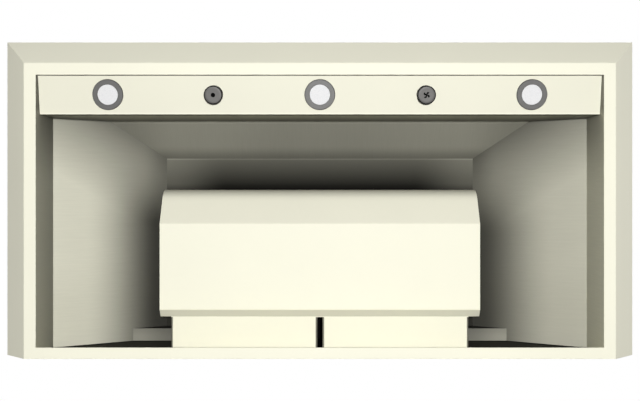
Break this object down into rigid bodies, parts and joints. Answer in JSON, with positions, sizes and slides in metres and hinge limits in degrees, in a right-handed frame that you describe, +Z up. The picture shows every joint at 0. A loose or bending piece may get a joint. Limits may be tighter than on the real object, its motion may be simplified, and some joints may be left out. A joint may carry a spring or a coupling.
{
  "type": "wall mount range hood",
  "caption": "Wide wall mount range hood with a bevelled rim, tilted control panel with lamps and knobs, removable blower housing, and a round duct collar with a damper on top.",
  "frame": {"origin": "middle of the back panel's lower edge, on the wall plane", "axes": "+X to the right seen from the room, +Y into the wall, +Z up"},
  "size_m": [1.2192, 0.6096, 0.5192],
  "materials": {
    "cream_paint": "smooth satin enamel",
    "lamp_trim": "satin",
    "lamp_glass": "frosted",
    "lamp_metal": "plain",
    "knob_metal": "brushed face",
    "bright_steel": "zinc plated",
    "control_plastic": "moulded",
    "zinc_sheet": "galvanised",
    "motor_alloy": "cast",
    "inlet_plastic": "moulded",
    "dark_plastic": "moulded"
  },
  "bodies": {
    "hood": {"front_panel": "cream_paint", "side_panel_left": "cream_paint", "side_panel_right": "cream_paint", "top_panel": "cream_paint", "back_panel": "cream_paint", "bottom_rim": "cream_paint", "liner_left": "cream_paint", "liner_right": "cream_paint", "liner_front": "cream_paint", "ceiling_plate": "cream_paint", "rear_ledge_left": "cream_paint", "rear_ledge_right": "cream_paint", "control_panel": "cream_paint", "exhaust_chute_left": "cream_paint", "exhaust_chute_right": "cream_paint", "blower_back_plate": "cream_paint", "lamp_ring_left": "lamp_trim", "lamp_ring_centre": "lamp_trim", "lamp_ring_right": "lamp_trim", "lamp_lens_left": "lamp_glass", "lamp_lens_centre": "lamp_glass", "lamp_lens_right": "lamp_glass", "lamp_can_left": "lamp_metal", "lamp_can_centre": "lamp_metal", "lamp_can_right": "lamp_metal", "lamp_module_left": "lamp_metal", "lamp_module_centre": "lamp_metal", "lamp_module_right": "lamp_metal", "control_nuts": "bright_steel", "damper_pin": "bright_steel", "top_screws": "bright_steel", "motor_bolts": "bright_steel", "housing_catches": "bright_steel", "light_control": "control_plastic", "fan_control": "control_plastic", "plenum_box": "zinc_sheet", "duct_collar": "zinc_sheet", "motor_bracket_left": "zinc_sheet", "motor_bracket_right": "zinc_sheet", "junction_box": "zinc_sheet", "junction_box_cover": "zinc_sheet", "motor_left": "motor_alloy", "motor_right": "motor_alloy", "motor_capacitors": "motor_alloy", "cable_gland": "dark_plastic", "cable_gland_nut": "dark_plastic", "wiring_conduit": "dark_plastic"},
    "light_knob": {"light_knob": "knob_metal", "light_control_stem": "bright_steel"},
    "fan_knob": {"fan_knob": "knob_metal", "fan_control_stem": "bright_steel"},
    "impeller_left": {"impeller_left": "zinc_sheet", "motor_shaft_left": "bright_steel"},
    "impeller_right": {"impeller_right": "zinc_sheet", "motor_shaft_right": "bright_steel"},
    "damper_front": {"damper_flap_front": "zinc_sheet"},
    "damper_rear": {"damper_flap_rear": "zinc_sheet"},
    "blower_housing": {"blower_housing": "cream_paint", "inlet_ring_left": "inlet_plastic", "inlet_ring_right": "inlet_plastic"}
  },
  "joints": [
    {"name": "light_knob_turn", "type": "hinge", "parent": "hood", "child": "light_knob", "pos_m": [-0.2036, -0.5046, 0.01903], "axis": [0, -0.164, 0.9865], "range_deg": [0, 270]},
    {"name": "fan_knob_turn", "type": "hinge", "parent": "hood", "child": "fan_knob", "pos_m": [0.2036, -0.5046, 0.01903], "axis": [0, -0.164, 0.9865], "range_deg": [0, 270]},
    {"name": "impeller_left_spin", "type": "hinge", "parent": "hood", "child": "impeller_left", "pos_m": [0, -0.1911, 0.165], "axis": [1, 0, 0], "continuous": true},
    {"name": "impeller_right_spin", "type": "hinge", "parent": "hood", "child": "impeller_right", "pos_m": [0, -0.1911, 0.165], "axis": [1, 0, 0], "continuous": true},
    {"name": "damper_front_swing", "type": "hinge", "parent": "hood", "child": "damper_front", "pos_m": [0, -0.1524, 0.4812], "axis": [-1, 0, 0], "range_deg": [0, 75]},
    {"name": "damper_rear_swing", "type": "hinge", "parent": "hood", "child": "damper_rear", "pos_m": [0, -0.1524, 0.4812], "axis": [1, 0, 0], "range_deg": [0, 75]},
    {"name": "housing_drop", "type": "slide", "parent": "hood", "child": "blower_housing", "axis": [0, 0, -1], "range_m": [0, 0.3]}
  ]
}
